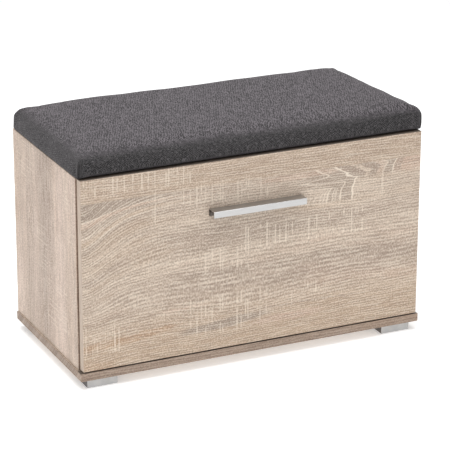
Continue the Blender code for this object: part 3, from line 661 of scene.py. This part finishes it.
def inflate(pad):
    """Cloth under light pressure, held along its lower edge and base."""
    before = [vertex.co.copy() for vertex in pad.data.vertices]
    held = pad.vertex_groups.new(name="stapled")
    low_points = [vertex.index for vertex in pad.data.vertices if vertex.co.z < STAPLED_BELOW]
    held.add(low_points, 1.0, "REPLACE")
    cloth = pad.modifiers.new("cover", "CLOTH")
    cloth.settings.vertex_group_mass = held.name
    cloth.settings.effector_weights.gravity = 0.0
    cloth.settings.use_pressure = True
    cloth.settings.uniform_pressure_force = 3.0
    cloth.settings.tension_stiffness = 25.0
    cloth.settings.compression_stiffness = 12.0
    cloth.settings.bending_stiffness = 2.0
    cloth.settings.quality = 4
    cloth.point_cache.frame_start = 1
    cloth.point_cache.frame_end = PAD_FRAMES
    for step in range(1, PAD_FRAMES + 1):
        bpy.context.scene.frame_set(step)
    bpy.context.view_layer.objects.active = pad
    bpy.ops.object.modifier_apply(modifier=cloth.name)
    bpy.context.scene.frame_set(1)
    for vertex, rest in zip(pad.data.vertices, before):
        moved = vertex.co - rest
        vertex.co = rest + moved * (PAD_MOST_MOVED / (PAD_MOST_MOVED + moved.length))


def settle(pad):
    """Crown, uneven corners, fuller sides, slack, and a lower edge that rises between the corners."""
    middle = (PAD_LOW + PAD_HIGH) / 2.0
    half = (PAD_HIGH - PAD_LOW) / 2.0
    rim = SIDE_HIGH.z
    for vertex in pad.data.vertices:
        point = vertex.co
        across = max(-1.0, min(1.0, (point.x - middle.x) / half.x))
        deep = max(-1.0, min(1.0, (point.y - middle.y) / half.y))
        height = max(0.0, min(1.0, (point.z - rim) / PAD_SHOULDER))
        end_gap = half.x - abs(point.x - middle.x)
        side_gap = half.y - abs(point.y - middle.y)
        belly = 4.0 * height * (1.0 - height) + 0.35 * height

        point.z += PAD_CROWN * (1.0 - across**6) * (1.0 - deep**4) * height**1.5
        near_corner = math.exp(-((end_gap / PAD_SINK_REACH) ** 2 + (side_gap / PAD_SINK_REACH) ** 2))
        corner = (1 if across > 0.0 else -1, 1 if deep > 0.0 else -1)
        point.z -= PAD_SINKS[corner] * near_corner * height
        point.x -= corner[0] * PAD_PULLS[corner] * near_corner * height
        point.y -= corner[1] * PAD_PULLS[corner] * near_corner * height
        right = max(0.0, (across - 0.5) / 0.5) * height
        point.x -= PAD_RIGHT_LEAN * max(0.0, (deep + 0.2) / 1.2) * right
        point.z += PAD_RIGHT_LIFT * (1.0 - deep) / 2.0 * right
        hip = math.exp(-(((deep - PAD_RIGHT_HIP_AT) / PAD_RIGHT_HIP_REACH) ** 2))
        point.z += PAD_RIGHT_HIP * hip * right
        fuller = math.exp(-(((across - PAD_FULLER_LEFT_AT) / PAD_FULLER_LEFT_REACH) ** 2))
        point.z += PAD_FULLER_LEFT * fuller * max(0.0, deep) * height
        point.x += math.copysign(PAD_END_BULGE, across) * abs(across) ** 16 * (1.0 - deep**4) * belly
        point.y += math.copysign(PAD_SIDE_BULGE, deep) * abs(deep) ** 8 * (1.0 - across**6) * belly

        clear_of_corner = min(1.0, max(0.0, (end_gap - 0.004) / PAD_CORNER_DROP))
        near_rim = max(0.0, 1.0 - side_gap / PAD_LIFT_REACH)
        point.z += PAD_LIFT * clear_of_corner**0.6 * near_rim * (1.0 - height) ** 1.5

        slack = noise.noise(Vector((point.x * 15.0, point.y * 15.0, 3.0 + point.z * 9.0)))
        point.z += slack * PAD_SLACK * height
        ripple = noise.noise(Vector((point.x * 34.0, point.y * 34.0, point.z * 20.0)))
        if side_gap < end_gap:
            point.y -= math.copysign(ripple * PAD_RIPPLE, deep) * (1.0 - abs(height - 0.5))
        else:
            point.x -= math.copysign(ripple * PAD_RIPPLE, across) * (1.0 - abs(height - 0.5))


def pinch_corners(pad):
    """The folded seam down each corner, where the cover is drawn tight."""
    middle = (PAD_LOW + PAD_HIGH) / 2.0
    corner = (PAD_HIGH - PAD_LOW) / 2.0 - Vector((PAD_CORNER, PAD_CORNER, 0.0)) * 0.30
    for vertex in pad.data.vertices:
        away = vertex.co - middle
        short = Vector((corner.x - abs(away.x), corner.y - abs(away.y)))
        near = math.exp(-((short.x - short.y) ** 2) / PAD_PINCH_WIDTH**2)
        close = math.exp(-((short.x + short.y) ** 2) / PAD_PINCH_REACH**2)
        depth = PAD_PINCH * near * close
        vertex.co.x -= math.copysign(depth, away.x)
        vertex.co.y -= math.copysign(depth, away.y)


def lay_weave(pad):
    """Own map: the cloth runs over the top and straight down each side, in metres."""
    layer = pad.data.uv_layers.new(name="weave")
    top = PAD_HIGH.z
    mesh = pad.data
    corner_normals = [normal.vector for normal in mesh.corner_normals]
    for loop in mesh.loops:
        point = mesh.vertices[loop.vertex_index].co
        normal = corner_normals[loop.index]
        drop = top - point.z
        flat = abs(normal.x) + abs(normal.y) + 1e-6
        share = abs(normal.x) / flat
        lean = min(1.0, flat)
        u = point.x + math.copysign(drop * share * lean, normal.x)
        v = point.y + math.copysign(drop * (1.0 - share) * lean, normal.y)
        layer.data[loop.index].uv = (u, v)


def make_cushion(material):
    pad = cushion_block()
    inflate(pad)
    settle(pad)
    apply_modifier(pad, "SUBSURF", levels=1, render_levels=1)
    pinch_corners(pad)
    start_piece()
    pad.select_set(True)
    bpy.context.view_layer.objects.active = pad
    bpy.ops.object.shade_smooth()
    lay_weave(pad)
    dress(pad, material)
    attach(pad, "carcass")
    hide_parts("seat_cushion")
    return pad


# ------------------------------------------------------------------ stage


def make_floor():
    start_piece()
    bpy.ops.mesh.primitive_plane_add(size=30.0, location=(0.0, 0.0, 0.0))
    floor = bpy.context.object
    floor.name = "studio_floor"
    finish = Finish("studio_white", 0.9)
    finish.colour((0.86, 0.86, 0.86))
    finish.shader.inputs["Emission Color"].default_value = (1.0, 1.0, 1.0, 1.0)
    finish.shader.inputs["Emission Strength"].default_value = 0.38
    dress(floor, finish.material)


def add_lamp(name, place, aim, size, power):
    start_piece()
    bpy.ops.object.light_add(type="AREA", location=place)
    lamp = bpy.context.object
    lamp.name = name
    lamp.rotation_euler = (Vector(aim) - Vector(place)).to_track_quat("-Z", "Y").to_euler()
    lamp.data.shape = "RECTANGLE"
    lamp.data.size = size[0]
    lamp.data.size_y = size[1]
    lamp.data.energy = power
    return lamp


def make_studio():
    world = bpy.data.worlds.new("studio")
    bpy.context.scene.world = world
    world.use_nodes = True
    world.node_tree.nodes["Background"].inputs["Color"].default_value = (1.0, 1.0, 1.0, 1.0)
    world.node_tree.nodes["Background"].inputs["Strength"].default_value = 0.40
    add_lamp("overhead", (-0.2, 0.0, 2.6), (0.0, 0.0, 0.3), (2.6, 2.6), 82.0)
    add_lamp("left_softbox", (-2.4, -1.0, 1.8), (0.0, 0.0, 0.25), (1.6, 1.6), 6.4)
    add_lamp("front_fill", (0.4, -2.5, 2.5), (0.0, 0.0, 0.25), (2.6, 1.8), 11.5)


def make_camera():
    data = bpy.data.cameras.new("camera")
    data.lens = CAMERA_LENS
    data.sensor_width = 36.0
    data.clip_start = 0.1
    data.clip_end = 60.0
    camera = bpy.data.objects.new("camera", data)
    bpy.context.scene.collection.objects.link(camera)
    aim = Vector(CAMERA_AIM) - Vector(CAMERA_PLACE)
    turn = aim.to_track_quat("-Z", "Y").to_matrix().to_4x4()
    camera.matrix_world = Matrix.Translation(CAMERA_PLACE) @ turn @ Matrix.Rotation(CAMERA_ROLL, 4, "Z")
    bpy.context.scene.camera = camera


def finish_cad():
    """Better finishes on the nodes whose shape is already right."""
    flap = oak_flap()
    upright = oak_upright()
    base = oak_along("oak_print_base", (0.60, 0.545, 0.52))
    inner = oak_along("oak_print_inner", None)
    hardboard = pressed_board("hardboard", (0.62, 0.54, 0.44), (0.50, 0.42, 0.33), 220.0)
    # Painted shade: the seat board gets a near-black colour so the gap under the cushion reads as shadow
    gap_shade_board = pressed_board("seat_board_gap_shade", (0.040, 0.034, 0.030), (0.015, 0.013, 0.012), 900.0)
    satin = brushed_metal("satin_aluminium_finish", (0.54, 0.535, 0.53), 0.32, 0, handle_channel_shade)
    plated = brushed_metal("nickel_plate", (0.72, 0.70, 0.66), 0.28, 1)
    zinc = brushed_metal("zinc_plate", (0.62, 0.63, 0.64), 0.38, 2)
    # Dark grey for all but the front faces of the feet
    dark_feet_grey = (0.10, 0.09, 0.085)
    silver = moulded_plastic("silver_plastic_finish", (0.58, 0.575, 0.57), 0.38, 1400.0, dark_feet_grey)
    white = moulded_plastic("white_plastic_finish", (0.78, 0.78, 0.76), 0.45, 1600.0)
    chosen = {
        "flap_front": flap,
        "side_panel_left": upright,
        "side_panel_right": upright,
        "base_panel": base,
        "inner_shelf": inner,
        "top_rail_front": inner,
        "top_rail_back": inner,
        "back_panel": hardboard,
        "seat_board": gap_shade_board,
        "handle": satin,
        "stay_quadrant": plated,
        "stay_guide": white,
        "magnetic_catch": white,
    }
    for name, node in nodes.items():
        material = chosen.get(name, zinc)
        if name.startswith("foot_") and not name.startswith("foot_screw"):
            material = silver
        if name.startswith("hinge_") and not name.startswith("hinge_pin"):
            material = plated
        dress(node, material)


bpy.context.scene.view_settings.view_transform = "Standard"
finish_cad()
make_cushion(seat_fabric())
make_floor()
make_studio()
make_camera()
